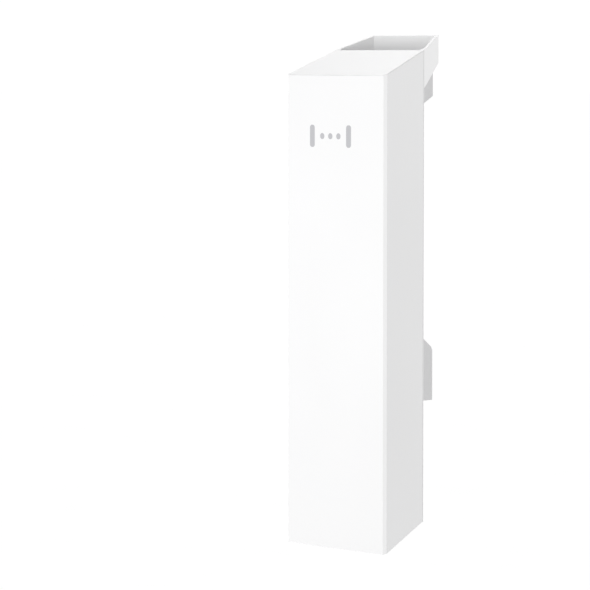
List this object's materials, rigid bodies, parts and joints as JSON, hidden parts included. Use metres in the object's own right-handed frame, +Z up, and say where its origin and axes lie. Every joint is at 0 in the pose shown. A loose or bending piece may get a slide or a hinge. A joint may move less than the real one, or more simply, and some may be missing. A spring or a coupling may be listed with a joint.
{
  "type": "outdoor wireless bridge",
  "caption": "Slim upright outdoor wireless bridge with a slanted roof and base, a rear hood, strap saddles and a sliding port cover.",
  "frame": {"origin": "centre of the lower saddle's rear face, where the unit meets its wall or pole", "axes": "+Z up along the body, +Y out of the rear towards the wall, the front looks along -Y"},
  "size_m": [0.061, 0.0435, 0.2222],
  "materials": {
    "case_plastic": "satin moulded white, finely textured",
    "saddle_plastic": "satin moulded pale grey-white",
    "mark_ink": "matt printed grey",
    "label_film": "matt film, blank",
    "seal_rubber": "matt moulded",
    "pad_rubber": "soft gap filler",
    "screw_steel": "plain stainless",
    "trim_plastic": "satin moulded",
    "light_guide": "clear polished",
    "control_plastic": "satin moulded",
    "black_plastic": "matt moulded",
    "jack_plastic": "smooth moulded",
    "contact_metal": "gold plated",
    "patch_metal": "flat gold-washed copper",
    "board_laminate": "solder mask with copper routing",
    "antenna_laminate": "bare laminate",
    "shield_metal": "tinned sheet",
    "plate_aluminium": "rolled sheet",
    "can_aluminium": "sleeved can",
    "led_lens": "clear lens, unlit",
    "nylon": "natural nylon",
    "lead_jacket": "smooth jacket"
  },
  "bodies": {
    "housing": {"front_shell": "case_plastic", "front_mark": "mark_ink", "cable_grommet": "seal_rubber", "rear_cover": "case_plastic", "case_gasket": "seal_rubber", "mount_hood": "case_plastic", "upper_saddle": "saddle_plastic", "lower_saddle": "saddle_plastic", "case_screws": "screw_steel", "mount_screws": "screw_steel", "board_screws": "screw_steel", "vent_plug": "trim_plastic", "ground_screw": "screw_steel", "light_pipe": "light_guide", "rating_plate": "label_film", "button_switch": "black_plastic", "mode_switch": "black_plastic", "lan_jack_1": "jack_plastic", "lan_jack_2": "jack_plastic", "lan_jack_3": "jack_plastic", "jack_contacts": "contact_metal", "main_board": "board_laminate", "processor_shield": "shield_metal", "radio_shield": "shield_metal", "thermal_pad": "pad_rubber", "heat_spreader": "plate_aluminium", "power_transformer": "black_plastic", "lan_transformers": "black_plastic", "capacitors": "can_aluminium", "status_leds": "led_lens", "antenna_board": "antenna_laminate", "antenna_patches": "patch_metal", "reflector_plate": "plate_aluminium", "antenna_standoffs": "nylon", "reflector_posts": "nylon", "coax_sockets": "contact_metal", "coax_lead_1": "lead_jacket", "coax_lead_2": "lead_jacket"},
    "port_cover": {"port_cover": "case_plastic"},
    "pair_button": {"pair_button": "control_plastic"},
    "mode_slider": {"mode_slider": "control_plastic"}
  },
  "joints": [
    {"name": "port_cover_slide", "type": "slide", "parent": "housing", "child": "port_cover", "axis": [0, 0, -1], "range_m": [0, 0.05]},
    {"name": "pair_button_push", "type": "slide", "parent": "housing", "child": "pair_button", "axis": [0, -1, 0], "range_m": [0, 0.0005], "stiffness_N_per_m": 400, "springref_m": -0.0005},
    {"name": "mode_slider_slide", "type": "slide", "parent": "housing", "child": "mode_slider", "axis": [1, 0, 0], "range_m": [0, 0.003]}
  ]
}
